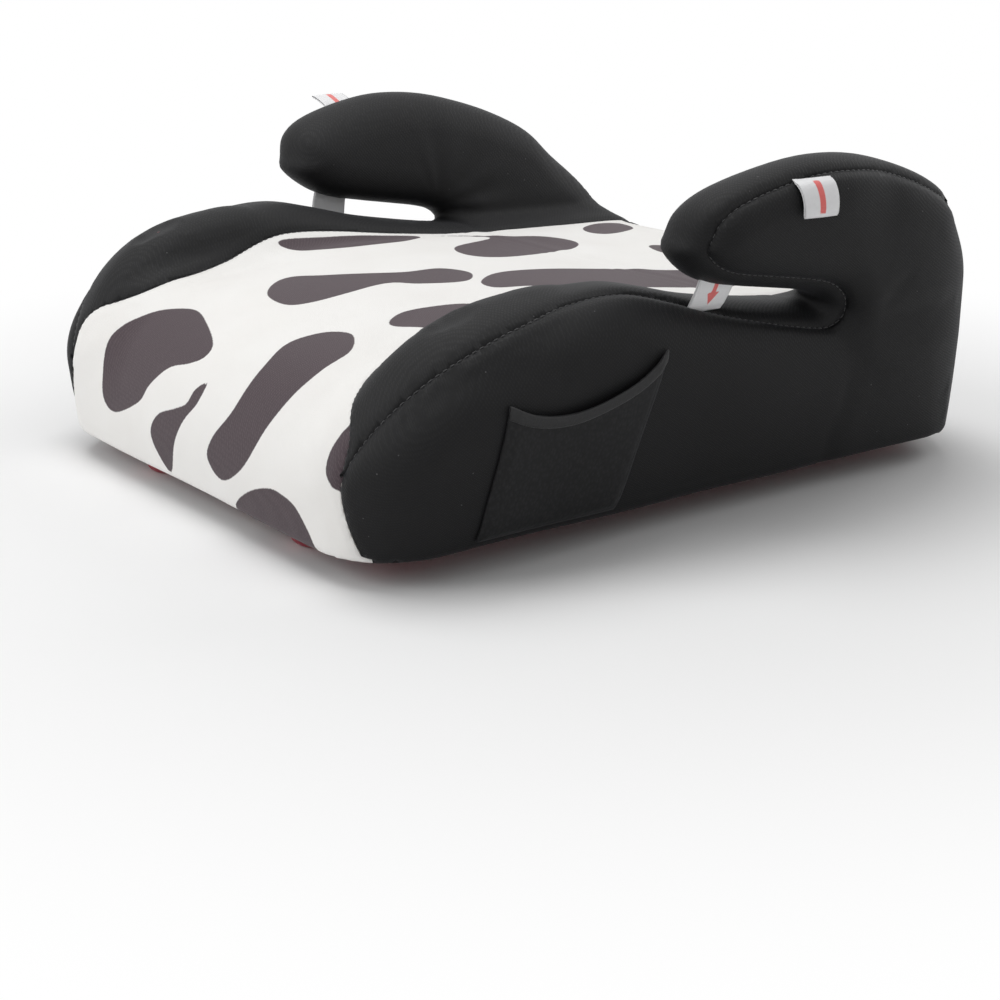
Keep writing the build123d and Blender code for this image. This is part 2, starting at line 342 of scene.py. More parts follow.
points = relaxed(onto_skin(points), quads, 2)
skin_mesh = bpy.data.meshes.new("padded_skin")
skin_mesh.from_pydata(points.tolist(), [], quads.tolist())
print("relaxed skin:", points.min(0), points.max(0))

# %% [markdown]
# The cover is sewn from panels: a printed one over the seat, two black ones inside the arms, two
# black ones outside, and a narrow one at the back. Each seam is written as a number that is zero
# on the seam, negative on one side and positive on the other. Cutting the net where the number
# changes sign gives clean panel edges, which a painted mask on one mesh would not.

# %% Where the seams run
def ramp(value, start, end):
    """A soft step from 0 at start to 1 at end."""
    t = np.clip((value - start) / (end - start), 0, 1)
    return t * t * (3 - 2 * t)


def inner_seam(p):
    """Beside the seat: negative on the seat, positive on the roll and arm."""
    x, y, z = np.abs(p[:, 0]), p[:, 1], p[:, 2]
    at_front = ramp(y, -0.150, -0.180)
    place = 0.1165 - 0.011 * ramp(y, -0.070, -0.140)
    place = place + at_front * (0.0255 * ramp(z, 0.095, 0.062) + 0.04 * ramp(z, 0.052, 0.041))
    return x - place


side_seam_line = [
    (front_y, 0.0288), (-0.178, 0.0235), (-0.150, 0.0195), (-0.120, 0.0205), (-0.090, 0.0240),
    (-0.065, 0.0235), (-0.035, 0.0205), (-0.018, 0.0170),
    (0.010, 0.0120), (0.040, 0.0085), (0.080, 0.0062), (back_y, 0.0058),
]
gap_middle = [(horn, 0.1180), (-0.020, 0.1130), (0.010, 0.1050), (0.050, 0.0985), (0.070, 0.0960)]


def outer_seam(p):
    """Round the outside: negative on the side panel, positive inside it."""
    x, y, z = np.abs(p[:, 0]), p[:, 1], p[:, 2]
    depth = -round_meet((x - side_x(z)) * side_cos, plan_distance(x, y), 0.012)
    place = smooth_line(side_seam_line, y)
    low_front = ramp(y, -0.130, -0.170) * np.maximum(0.045 - z, 0)
    place = place - 0.44 * low_front
    on_arm = ramp(z - smooth_line(gap_middle, y), -0.003, 0.003) * (y > horn - 0.01)
    place = place + on_arm * (0.0058 - place)
    return np.maximum(depth - place, 0.1165 - 0.03 * ramp(y, 0.05, -0.05) - x)


def rear_seam(p):
    """Behind the seat: positive on the back panel."""
    return p[:, 1] - rear_seam_y


def bottom_only(p, value):
    """A number that only cuts the flat underside."""
    return np.where(p[:, 2] < hem_z + 0.0006, value, 1.0)


def rim(p):
    """Distance inwards from the side walls, seen from below."""
    x, y = np.abs(p[:, 0]), p[:, 1]
    out = (x - side_x(hem_z)) * side_cos
    return -round_meet(round_meet(out, plan_distance(x, y), 0.024),
                       np.maximum(front_y - y, y - back_y), 0.02)


def hem_outer(p):
    """On the underside: positive where the panels still show, negative on the folded hem."""
    return bottom_only(p, 0.0065 - rim(p))


def hem_inner(p):
    """On the underside: negative in the opening of the cover."""
    return bottom_only(p, 0.0145 - rim(p))


print("seam numbers ready")

# %% [markdown]
# Points close to a seam are first pulled onto it, so that no sliver faces appear. Edges that still
# cross it are split at the crossing, and the faces between are joined across. Then every face is
# cut in four and the new points are put back on the skin, and on the seam where they belong to it.

# %% Cut the net along the seams
def pulled_onto(p, field):
    """Points moved along the skin until a seam number is zero there."""
    for _ in range(3):
        g = slopes_of(field, p)
        n = slopes_of(padding, p)
        n = n / np.maximum(np.linalg.norm(n, axis=1), 1e-9)[:, None]
        g = g - n * (g * n).sum(1)[:, None]
        size = np.maximum((g * g).sum(1), 0.15)
        step = -g * (field(p) / size)[:, None]
        length = np.maximum(np.linalg.norm(step, axis=1), 1e-9)
        p = p + step * np.minimum(1, 0.004 / length)[:, None]
        p = onto_skin(p, 1)
    return p


def cut_along(p, faces, field, seam_marks, bit):
    """The net with points and edges on the zero line of a seam number."""
    value = field(p)
    slope = np.maximum(np.linalg.norm(slopes_of(field, p), axis=1), 0.3)
    close = (np.abs(value) < 0.30 * cell * slope) & (np.abs(value) < 0.9)
    free = close & (seam_marks == 0)
    p = p.copy()
    p[free] = pulled_onto(p[free], field)
    value[close] = 0.0
    seam_marks[close] |= bit
    p, marks, value = list(p), list(seam_marks), list(value)
    fresh, made = {}, []
    for face in faces:
        loop = []
        for a, b in zip(face, face[1:] + face[:1]):
            loop.append(a)
            if value[a] * value[b] < 0 and max(abs(value[a]), abs(value[b])) < 0.9:
                key = (min(a, b), max(a, b))
                if key not in fresh:
                    t = value[key[0]] / (value[key[0]] - value[key[1]])
                    fresh[key] = len(p)
                    p.append(p[key[0]] * (1 - t) + p[key[1]] * t)
                    marks.append(bit)
                    value.append(0.0)
                loop.append(fresh[key])
        signs = [value[i] for i in loop]
        zero = [k for k, s in enumerate(signs) if s == 0]
        mixed = any(s > 0 for s in signs) and any(s < 0 for s in signs)
        if mixed and len(zero) == 2 and (zero[1] - zero[0]) not in (1, len(loop) - 1):
            i, j = zero
            made.append(loop[i:j + 1])
            made.append(loop[j:] + loop[:i + 1])
        else:
            made.append(loop)
    p = np.array(p)
    new = np.array(sorted(fresh.values()), int)
    if len(new):
        p[new] = pulled_onto(p[new], field)
    return p, made, np.array(marks)


seams = [(outer_seam, 1), (inner_seam, 2), (rear_seam, 4), (hem_outer, 8), (hem_inner, 16)]
faces = [list(map(int, q)) for q in quads]
marks = np.zeros(len(points), int)
for field, bit in seams:
    points, faces, marks = cut_along(points, faces, field, marks, bit)
print("cut net:", len(points), "points,", len(faces), "faces")


# %% Cut every face in four
def in_four(p, faces, marks):
    """Each face divided into quads, with new points in its middle and on its edges."""
    edge_point, quads = {}, []
    count = len(p)
    pairs = []
    for face in faces:
        for a, b in zip(face, face[1:] + face[:1]):
            key = (min(a, b), max(a, b))
            if key not in edge_point:
                edge_point[key] = count + len(edge_point)
                pairs.append(key)
    middle = count + len(pairs)
    centres, source = [], []
    for number, face in enumerate(faces):
        centres.append(p[face].mean(0))
        size = len(face)
        for k in range(size):
            a, b, c = face[k - 1], face[k], face[(k + 1) % size]
            before = edge_point[(min(a, b), max(a, b))]
            after = edge_point[(min(b, c), max(b, c))]
            quads.append((b, after, middle + number, before))
            source.append(number)
    pairs = np.array(pairs)
    halves = (p[pairs[:, 0]] + p[pairs[:, 1]]) / 2
    half_marks = marks[pairs[:, 0]] & marks[pairs[:, 1]]
    every = np.concatenate([p, halves, np.array(centres)])
    every_mark = np.concatenate([marks, half_marks, np.zeros(len(centres), int)])
    return every, np.array(quads), every_mark, np.array(source), pairs


def region_of(p, faces):
    """A number for the panel that each face belongs to."""
    middles = np.array([p[f].mean(0) for f in faces])
    side, seat = outer_seam(middles) < 0, inner_seam(middles) < 0
    left = middles[:, 0] > 0
    region = np.where(left, 2, 3)
    region = np.where(seat, np.where(rear_seam(middles) > 0, 1, 0), region)
    region = np.where(side, np.where(left, 4, 5), region)
    under = middles[:, 2] < hem_z + 0.0006
    region = np.where(under & (hem_outer(middles) < 0), 6, region)
    return np.where(under & (hem_inner(middles) < 0), 7, region)


panel_names = ["centre_panel", "back_panel", "inner_panel_left", "inner_panel_right",
               "side_panel_left", "side_panel_right", "hem_fold"]
coarse_region = region_of(points, faces)
fine, fine_quads, fine_marks, source, pairs = in_four(points, faces, marks)
region = coarse_region[source]
print("faces in each panel:", dict(zip(panel_names, np.bincount(region))))

# %% Put the new points on the skin
coarse_count = len(points)
fine = onto_skin(fine, 2)
between = np.zeros((len(fine), 8), bool)
for k in range(4):
    between[fine_quads[:, k], region] = True
border = between.sum(1) > 1
for field, bit in seams[:3]:
    on_line = border & ((fine_marks & bit) > 0) & (np.arange(len(fine)) >= coarse_count)
    fine[on_line] = pulled_onto(fine[on_line], field)
normals = slopes_of(padding, fine)
normals = normals / np.maximum(np.linalg.norm(normals, axis=1), 1e-9)[:, None]
print("points on seams:", int(border.sum()))

# %% [markdown]
# Stretch cloth over soft foam is never a perfect surface: it swells between its seams and is held
# down along them. A cloth simulation gives that for free. The coarse net is pinned at its seams and
# blown up a little from inside, and each point may only move a few millimetres. The movement
# is then carried over to the fine panels, so no simulation is left on any piece.

# %% Blow the cover up a little
def cloth_movement(p, faces, pinned, limit, quick):
    """How far each point moves when the cover is simulated with air inside."""
    if quick:
        return np.zeros_like(p)
    mesh = bpy.data.meshes.new("cover_to_simulate")
    mesh.from_pydata(p.tolist(), [], faces)
    body = bpy.data.objects.new("cover_to_simulate", mesh)
    bpy.context.scene.collection.objects.link(body)
    group = body.vertex_groups.new(name="held")
    group.add([int(i) for i in np.where(pinned)[0]], 1.0, "REPLACE")
    cloth = body.modifiers.new("cloth", "CLOTH")
    settings = cloth.settings
    settings.quality = 4
    settings.mass = 0.15
    settings.tension_stiffness = settings.compression_stiffness = 18
    settings.shear_stiffness = 10
    settings.bending_stiffness = 2.0
    settings.vertex_group_mass = "held"
    settings.use_pressure = True
    settings.uniform_pressure_force = 4.0
    settings.effector_weights.gravity = 0.0
    settings.shrink_min = 0.0
    cloth.collision_settings.use_collision = False
    cloth.point_cache.frame_start, cloth.point_cache.frame_end = 1, 20
    for frame_number in range(1, 21):
        bpy.context.scene.frame_set(frame_number)
    shown = body.evaluated_get(bpy.context.evaluated_depsgraph_get())
    moved = mesh_points(shown.data) - p
    bpy.context.scene.frame_set(1)
    bpy.data.objects.remove(body)
    length = np.maximum(np.linalg.norm(moved, axis=1), 1e-9)
    return moved * (limit * np.tanh(length / limit) / length)[:, None]


kept = [f for f, r in zip(faces, coarse_region) if r != 7]
pinned = (marks > 0) | (points[:, 2] < hem_z + 0.0008)
swell_limit = 0.0022
moved = cloth_movement(points, kept, pinned, swell_limit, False)
print("cloth moved by up to", round(float(np.linalg.norm(moved, axis=1).max()) * 1000, 2), "mm")

# %% Carry the movement to the fine net
halves = (moved[pairs[:, 0]] + moved[pairs[:, 1]]) / 2
centres = np.array([moved[f].mean(0) for f in faces])
fine_moved = np.concatenate([moved, halves, centres])
edges = np.concatenate([fine_quads[:, [i, (i + 1) % 4]] for i in range(4)])
for _ in range(3):
    total, count = np.zeros_like(fine), np.zeros(len(fine))
    np.add.at(total, edges[:, 0], fine_moved[edges[:, 1]])
    np.add.at(total, edges[:, 1], fine_moved[edges[:, 0]])
    np.add.at(count, edges[:, 0], 1)
    np.add.at(count, edges[:, 1], 1)
    fine_moved = 0.5 * fine_moved + 0.5 * total / count[:, None]
print("fine net moved by up to", round(float(np.linalg.norm(fine_moved, axis=1).max()) * 1000, 2))

# %% [markdown]
# A seam is a narrow valley: thread pulls two panels together and the foam stands up on both sides.
# Its depth follows a bell curve of the distance to the seam. A few shallow pulls fan out from the
# corner of the belt gap inside each arm, where the cloth has to turn a tight corner.

# %% Seam valleys and pulls in the cloth
tree = KDTree(int(border.sum()))
seam_points = np.where(border & (fine[:, 2] > hem_z + 0.001))[0]
for i in seam_points:
    tree.insert(Vector(fine[i]), int(i))
tree.balance()
seam_distance = np.array([tree.find(Vector(q))[2] for q in fine])
valley = 0.0013 * np.exp(-((seam_distance / 0.0026) ** 2))
crown = 0.0007 * (1 - np.exp(-seam_distance / 0.012))

root_y, root_z = 0.046, 0.106
fan_y, fan_z = fine[:, 1] - root_y, fine[:, 2] - root_z
fan_far = np.hypot(fan_y, fan_z)
fan_angle = np.arctan2(fan_z, fan_y)
inside_arm = -((np.abs(fine[:, 0]) - side_x(fine[:, 2])) * side_cos) > 0.020
fan = np.cos(fan_angle * 11 + 1.5 * np.sin(fan_angle * 3)) * ramp(fan_far, 0.006, 0.020)
fan = fan * ramp(fan_far, 0.062, 0.030) * ramp(fan_y, -0.02, 0.01) * ramp(fan_z, -0.03, 0.0)
pulls = np.where(inside_arm, 0.00055 * fan, 0)

soft = 0.0005 * (np.sin(fine[:, 0] * 41 + 1.3 * np.sin(fine[:, 1] * 23)) *
                 np.sin(fine[:, 1] * 37 + fine[:, 2] * 29))
soft = soft * ramp(seam_distance, 0.004, 0.03)
lift = crown - valley + pulls + soft
lift = np.where(fine[:, 2] < hem_z + 0.001, 0, lift)
skin_points = fine + fine_moved + normals * lift[:, None]

# %% Lay the cover over the hard base
base_object = next(o for o in bpy.data.objects
                   if o.type == "MESH" and o.name.split(".")[0] == "base_shell")
base_tree = BVHTree.FromPolygons(mesh_points(base_object.data).tolist(),
                                 [tuple(f.vertices) for f in base_object.data.polygons])
least_gap, look_from = 0.0027, 0.006
raised = np.zeros(len(fine))
for i in np.where(fine[:, 2] > hem_z + 0.003)[0]:
    start = Vector(skin_points[i] + normals[i] * look_from)
    struck = base_tree.ray_cast(start, Vector(-normals[i]), look_from + least_gap)
    if struck[0] is not None:
        raised[i] = least_gap + look_from - struck[3]
needed = raised.copy()
for _ in range(12):
    total, count = np.zeros(len(fine)), np.zeros(len(fine))
    np.add.at(total, edges[:, 0], raised[edges[:, 1]])
    np.add.at(total, edges[:, 1], raised[edges[:, 0]])
    np.add.at(count, edges[:, 0], 1)
    np.add.at(count, edges[:, 1], 1)
    raised = np.maximum(needed * 0.96, 0.4 * raised + 0.6 * total / count)
skin_points = skin_points + normals * raised[:, None]
print("raised over the base by up to", round(float(raised.max()) * 1000, 2), "mm at",
      int((needed > 0).sum()), "points")
print("deepest valley:", round(float(valley.max()) * 1000, 2), "mm")


# %% [markdown]
# Each panel becomes its own piece. Its points are carried over, its cloth gets a real thickness
# inwards, and two numbers are kept on its points for the finishes: the distance to the nearest seam
# and, on the printed panel, the distance to the nearest dark patch.

# %% Make the panels
def new_piece(name, p, faces, stands_for):
    """A smooth mesh piece that rides on the seat and stands for a node of the frame."""
    mesh = bpy.data.meshes.new(name)
    mesh.from_pydata([tuple(v) for v in p], [], [tuple(int(i) for i in f) for f in faces])
    mesh.validate()
    mesh.polygons.foreach_set("use_smooth", [True] * len(mesh.polygons))
    piece = bpy.data.objects.new(name, mesh)
    bpy.context.scene.collection.objects.link(piece)
    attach(piece, "root")
    if stands_for:
        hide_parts(stands_for)
    return piece


def keep_number(piece, name, values):
    """One number for each point of a piece, for its finish to read."""
    layer = piece.data.attributes.new(name, "FLOAT", "POINT")
    layer.data.foreach_set("value", np.asarray(values, float))


def thicken(piece, thickness, offset=-1.0):
    """Give a sheet its real thickness."""
    solid = piece.modifiers.new("thickness", "SOLIDIFY")
    solid.thickness = thickness
    solid.offset = offset
    solid.use_quality_normals = True


cloth_thickness = 0.0018
panels, panel_used = {}, {}
for number, name in enumerate(panel_names):
    chosen = fine_quads[region == number]
    used, flat = np.unique(chosen, return_inverse=True)
    piece = new_piece(name + "_cloth", skin_points[used], flat.reshape(-1, 4), name)
    keep_number(piece, "seam_distance", seam_distance[used])
    thicken(piece, cloth_thickness)
    panels[name], panel_used[name] = piece, used
area = {n: sum(f.area for f in o.data.polygons) for n, o in panels.items()}
print("panel areas in m2:", {n: round(a, 4) for n, a in area.items()})

# %% [markdown]
# The dark patches are printed on the cloth, so they belong to the panel and not to the room. Each
# patch is a soft closed loop laid out on the unrolled panel: the first number runs across the seat
# and the second runs from the bottom edge in front, over the top, to the back.

# %% Unroll the seat panel
profile_y = np.concatenate([np.full(12, front_y), np.linspace(front_y, back_y, 160)])
profile_z = np.concatenate([np.linspace(hem_z, 0.045, 12), np.full(160, 0.09)])
profile = np.stack([np.full(172, 0.0), profile_y, profile_z], 1)
profile = onto_skin(profile, 6)
keep = np.concatenate([[True], np.linalg.norm(np.diff(profile, axis=0), axis=1) > 1e-4])
profile = profile[keep]
profile_run = np.concatenate([[0], np.cumsum(np.linalg.norm(np.diff(profile, axis=0), axis=1))])


def run_of(p):
    """Length along the seat panel from its bottom edge in front."""
    best, run = np.full(len(p), 1e9), np.zeros(len(p))
    for a, b, start in zip(profile[:-1, 1:], profile[1:, 1:], profile_run):
        d = b - a
        t = np.clip(((p[:, 1:] - a) @ d) / (d @ d), 0, 1)
        away = ((p[:, 1:] - a - t[:, None] * d) ** 2).sum(1)
        closer = away < best
        best = np.where(closer, away, best)
        run = np.where(closer, start + t * np.linalg.norm(d), run)
    return run


print("seat panel length:", round(float(profile_run[-1]), 3))

# %% Lay out the dark patches
patches = [
    [(-0.0972, 0.0363), (-0.1016, 0.0543), (-0.0935, 0.0690), (-0.0823, 0.0789), (-0.0611, 0.0854),
     (-0.0383, 0.0791), (-0.0184, 0.0697), (-0.0162, 0.0619), (-0.0247, 0.0565), (-0.0393, 0.0511),
     (-0.0503, 0.0396), (-0.0555, 0.0300), (-0.0773, 0.0202), (-0.0909, 0.0235)],
    [(0.0000, 0.0511), (-0.0008, 0.0406), (-0.0081, 0.0313), (-0.0131, 0.0214), (-0.0197, 0.0029),
     (-0.0321, 0.0100), (-0.0389, 0.0195), (-0.0336, 0.0286), (-0.0196, 0.0341), (-0.0102, 0.0386),
     (-0.0073, 0.0463)],
    [(0.0434, 0.1029), (0.0562, 0.1045), (0.0710, 0.0931), (0.0704, 0.0760), (0.0675, 0.0628),
     (0.0617, 0.0450), (0.0516, 0.0231), (0.0327, 0.0119), (0.0186, 0.0191), (0.0203, 0.0289),
     (0.0305, 0.0446), (0.0321, 0.0666), (0.0293, 0.0836), (0.0344, 0.0947)],
    [(-0.0350, 0.1132), (-0.0503, 0.1264), (-0.0527, 0.1380), (-0.0371, 0.1512), (-0.0150, 0.1793),
     (-0.0107, 0.2010), (0.0085, 0.2060), (0.0251, 0.1915), (0.0145, 0.1712), (0.0026, 0.1614),
     (0.0013, 0.1385), (-0.0033, 0.1182), (-0.0135, 0.1101)],
    [(-0.1120, 0.1656), (-0.1110, 0.1947), (-0.1095, 0.2537), (-0.0892, 0.2328), (-0.0856, 0.2009),
     (-0.0981, 0.1768)],
    [(-0.1063, 0.2616), (-0.0858, 0.2891), (-0.0614, 0.2469), (-0.0350, 0.2378), (-0.0219, 0.2547),
     (-0.0322, 0.2973), (-0.0416, 0.3179), (-0.0573, 0.3248), (-0.0772, 0.3187), (-0.0905, 0.2998)],
    [(0.0315, 0.1960), (0.0171, 0.2186), (0.0200, 0.2553), (0.0330, 0.2988), (0.0613, 0.3253),
     (0.0867, 0.3200), (0.0950, 0.2950), (0.0800, 0.2550), (0.0700, 0.2250), (0.0563, 0.2072),
     (0.0475, 0.1926)],
    [(0.0593, 0.1229), (0.0498, 0.1351), (0.0539, 0.1496), (0.0640, 0.1655), (0.0850, 0.1720),
     (0.1050, 0.1650), (0.1100, 0.1500), (0.0950, 0.1380), (0.0750, 0.1280)],
    [(-0.0915, 0.3626), (-0.1028, 0.3852), (-0.0963, 0.3957), (-0.0746, 0.3873), (-0.0661, 0.3621),
     (-0.0752, 0.3544)],
    [(-0.0214, 0.3554), (0.0050, 0.3750), (0.0350, 0.3800), (0.0500, 0.3620), (0.0350, 0.3450),
     (-0.0020, 0.3440)],
    [(0.0422, 0.0010), (0.0557, 0.0120), (0.0735, 0.0184), (0.0865, 0.0185), (0.0991, 0.0150),
     (0.1113, 0.0016), (0.1100, -0.0120), (0.0500, -0.0120)],
    [(0.1220, 0.0340), (0.1210, 0.0450), (0.1260, 0.0560), (0.1330, 0.0630), (0.1420, 0.0660),
     (0.1420, 0.0340), (0.1330, 0.0300)],
    [(0.0920, 0.3560), (0.1100, 0.3400), (0.1230, 0.3500), (0.1200, 0.4000), (0.1000, 0.4050)],
]
centre = panels["centre_panel"]
centre_skin = fine[panel_used["centre_panel"]]
across, along = centre_skin[:, 0], run_of(centre_skin)
patch = np.full(len(across), 1.0)
for loop in patches:
    patch = np.minimum(patch, polygon_distance(smooth_loop(loop, 7), across, along))
keep_number(centre, "patch_distance", patch)
print("share of the panel that is dark:", round(float((patch < 0).mean()), 2))

# %% [markdown]
# Now the finishes. The black cloth is a fine stretch knit: dark, not fully matt, with a soft bright
# edge where the fibres catch grazing light, and small bits of lint. Its knit is a fine relief made
# of two crossing waves, too small to model. Everything is placed in object space, so it stays on
# the cloth from every side.

# %% Tools for finishes
class Finish:
    """A material whose nodes are added one by one and wired to a main shader."""

    def __init__(self, name, colour, roughness, **sockets):
        """Start a material with one colour, one roughness and other plain values."""
        self.material = bpy.data.materials.new(name)
        self.material.use_nodes = True
        self.tree = self.material.node_tree
        self.shader = self.tree.nodes["Principled BSDF"]
        self.shader.inputs["Base Color"].default_value = (*colour, 1)
        self.shader.inputs["Roughness"].default_value = roughness
        for socket, value in sockets.items():
            self.shader.inputs[socket.replace("_", " ")].default_value = value
        self.place = self.node("ShaderNodeTexCoord").outputs["Object"]
        self.relief = None

    def node(self, kind, inputs=None, **settings):
        """A new node, with each input wired to a socket or set to a value."""
        made = self.tree.nodes.new(kind)
        for key, value in settings.items():
            setattr(made, key, value)
        for key, value in (inputs or {}).items():
            if isinstance(value, bpy.types.NodeSocket):
                self.tree.links.new(value, made.inputs[key])
            else:
                made.inputs[key].default_value = value
        return made

    def noise(self, scale, detail=2.0, rough=0.5):
        """Soft random values from 0 to 1."""
        made = self.node("ShaderNodeTexNoise",
                         {"Vector": self.place, "Scale": scale, "Detail": detail,
                          "Roughness": rough})
        return made.outputs["Fac"]

    def turned(self, angles, stretch=(1, 1, 1)):
        """Object space, turned and stretched."""
        made = self.node("ShaderNodeMapping",
                         {"Vector": self.place, "Rotation": angles, "Scale": stretch})
        return made.outputs["Vector"]

    def cells(self, scale, vector=None):
        """The distance to the nearest of many scattered points."""
        made = self.node("ShaderNodeTexVoronoi", {"Vector": vector or self.place, "Scale": scale})
        return made.outputs["Distance"]

    def waves(self, vector, scale, wobble=1.0):
        """Bands that repeat along one direction."""
        made = self.node("ShaderNodeTexWave",
                         {"Vector": vector, "Scale": scale, "Distortion": wobble,
                          "Detail": 1.0, "Detail Scale": 2.0})
        return made.outputs["Fac"]

    def maths(self, kind, a, b=0.0):
        """One sum on two values."""
        return self.node("ShaderNodeMath", {0: a, 1: b}, operation=kind).outputs[0]

    def between(self, value, low, high, to_low=0.0, to_high=1.0):
        """A value carried from one range to another."""
        made = self.node("ShaderNodeMapRange",
                         {"Value": value, "From Min": low, "From Max": high,
                          "To Min": to_low, "To Max": to_high})
        return made.outputs["Result"]

    def number(self, name):
        """A number stored on the points of the mesh."""
        return self.node("ShaderNodeAttribute", attribute_name=name).outputs["Fac"]

    def blend(self, amount, a, b):
        """A mix of two colours."""
        made = self.node("ShaderNodeMix", data_type="RGBA")
        for socket, value in ((made.inputs[0], amount), (made.inputs[6], a), (made.inputs[7], b)):
            if isinstance(value, bpy.types.NodeSocket):
                self.tree.links.new(value, socket)
            else:
                socket.default_value = (*value, 1) if isinstance(value, tuple) else value
        return made.outputs[2]

    def add_relief(self, height, depth, strength=1.0):
        """Fine relief, laid over any relief already there."""
        inputs = {"Height": height, "Distance": depth, "Strength": strength}
        if self.relief is not None:
            inputs["Normal"] = self.relief
        self.relief = self.node("ShaderNodeBump", inputs).outputs["Normal"]
        self.tree.links.new(self.relief, self.shader.inputs["Normal"])

    def colour(self, value):
        """Wire the base colour."""
        self.tree.links.new(value, self.shader.inputs["Base Color"])

    def roughness(self, value):
        """Wire the roughness."""
        self.tree.links.new(value, self.shader.inputs["Roughness"])


def dress(piece, finish):
    """Give a piece one finish."""
    piece.data.materials.clear()
    piece.data.materials.append(finish.material)


# %% Black stretch knit
black = Finish("black_stretch_knit", (0.0065, 0.0065, 0.0070), 0.56, Sheen_Weight=0.07,
               Sheen_Roughness=0.35, Specular_IOR_Level=0.24)
black.shader.inputs["Sheen Tint"].default_value = (0.55, 0.57, 0.62, 1)
knit = black.maths("MULTIPLY", black.waves(black.turned((0.3, 0.6, 0.8)), 330, 2.6),
                   black.waves(black.turned((-0.7, 0.2, -0.8)), 330, 2.6))
knit = black.maths("ADD", knit, black.maths("MULTIPLY", black.noise(1500, 2), 0.6))
black.add_relief(knit, 0.00012, 0.55)
black.add_relief(black.noise(120, 3), 0.0003, 0.25)
lint = black.between(black.cells(95), 0.040, 0.028)
shade = black.blend(black.between(black.noise(14, 3), 0.3, 0.7), (0.0032, 0.0032, 0.0036),
                    (0.0052, 0.0052, 0.0058))
shade = black.blend(black.between(knit, 0.2, 1.1, 0, 0.5), shade, (0.0085, 0.0085, 0.0093))
shade = black.blend(black.maths("MULTIPLY", lint, 0.22), shade, (0.30, 0.30, 0.31))
black.colour(shade)
black.roughness(black.between(knit, 0.0, 1.4, 0.68, 0.54))
for name in panel_names[1:]:
    dress(panels[name], black)
print("black knit on", len(panel_names) - 1, "panels")

# %% Printed knit of the seat
printed = Finish("printed_stretch_knit", (0.86, 0.85, 0.82), 0.72, Sheen_Weight=0.12,
                 Sheen_Roughness=0.5, Specular_IOR_Level=0.3)
fine_knit = printed.maths("MULTIPLY", printed.waves(printed.turned((0.2, 0.5, 0.8)), 330, 2.6),
                          printed.waves(printed.turned((-0.6, 0.3, -0.8)), 330, 2.6))
fine_knit = printed.maths("ADD", fine_knit, printed.maths("MULTIPLY", printed.noise(1600, 2), 0.5))
printed.add_relief(fine_knit, 0.00011, 0.6)
printed.add_relief(printed.noise(60, 3), 0.0005, 0.2)
white = printed.blend(printed.between(printed.noise(20, 3), 0.3, 0.7), (0.84, 0.825, 0.80),
                      (0.875, 0.865, 0.845))
dark = printed.blend(printed.between(fine_knit, 0.2, 1.0), (0.055, 0.038, 0.045),
                     (0.085, 0.062, 0.070))
edge = printed.maths("ADD", printed.number("patch_distance"),
                     printed.between(printed.noise(900, 1), 0, 1, -0.00022, 0.00022))
printed.colour(printed.blend(printed.between(edge, -0.00025, 0.00025), dark, white))
dress(centre, printed)
print("printed knit on the seat panel")

# %% [markdown]
# The side pockets are flat pouches of a ribbed knit, sewn to the side panel on three sides. The
# upper edge is free: it hangs in a shallow curve and is folded over twice into a narrow band. The
# pouch is laid as a grid between its own edges, dropped on the side panel, and stands off it a
# little more towards the open edge.

# %% Points on the side of the seat
def side_surface(y, z, stand):
    """Points above the left side panel, a given distance out from it."""
    p = np.stack([side_x(z), y, z], 1)
    for _ in range(12):
        g = slopes_of(padding, p)[:, 0]
        p[:, 0] -= np.clip(padding(p) / np.maximum(g, 0.35), -0.004, 0.004)
    n = slopes_of(padding, p)
    n = n / np.linalg.norm(n, axis=1)[:, None]
    swell = np.array([tree_moved(q) for q in p])
    return p + n * (stand + swell)[:, None], n


mover = KDTree(len(fine))
for i, q in enumerate(fine):
    mover.insert(Vector(q), i)
mover.balance()


def tree_moved(q):
    """How far the finished cloth stands off the plain skin near a point."""
    near = [mover_lift[i] for _, i, _ in mover.find_n(Vector(q), 4)]
    return sum(near) / len(near)


mover_lift = ((skin_points - fine) * normals).sum(1)

pocket_low_z = 0.0180
hem_curve = [(0.0, 0.0800), (0.16, 0.0752), (0.36, 0.0735), (0.62, 0.0775), (0.86, 0.0850),
             (1.0, 0.0925)]


def pocket_place(u, v):
    """Height and depth on the side for a place on the pocket: u to the rear, v upwards."""
    front = -0.1425 + 0.0060 * v
    rear = -0.0660 + 0.0130 * v ** 0.8 - 0.0020 * np.sin(np.pi * v)
    top = smooth_line(hem_curve, u)
    return front + (rear - front) * u, pocket_low_z + (top - pocket_low_z) * v


def grid_faces(nu, nv):
    """Quads of a grid of nu by nv points."""
    i = np.arange(nu * nv).reshape(nu, nv)
    return np.stack([i[:-1, :-1], i[1:, :-1], i[1:, 1:], i[:-1, 1:]], -1).reshape(-1, 4)


def mirrored(p, faces):
    """The same sheet for the other side of the seat."""
    return p * np.array([-1, 1, 1]), faces[:, ::-1]


# %% Make the pockets and their bound edges
nu, nv = 61, 49
u, v = [g.ravel() for g in np.meshgrid(np.linspace(0, 1, nu), np.linspace(0, 1, nv),
                                       indexing="ij")]
y, z = pocket_place(u, v)
held = np.minimum(np.minimum(ramp(u, 0, 0.07), ramp(u, 1, 0.93)), ramp(v, 0, 0.07))
pouch = 0.0004 + 0.0013 * held + 0.0012 * np.sin(np.pi * u) * v ** 2
pouch = pouch + 0.0003 * np.sin(u * 9 + 2 * v) * held
pocket_points, _ = side_surface(y, z, pouch)

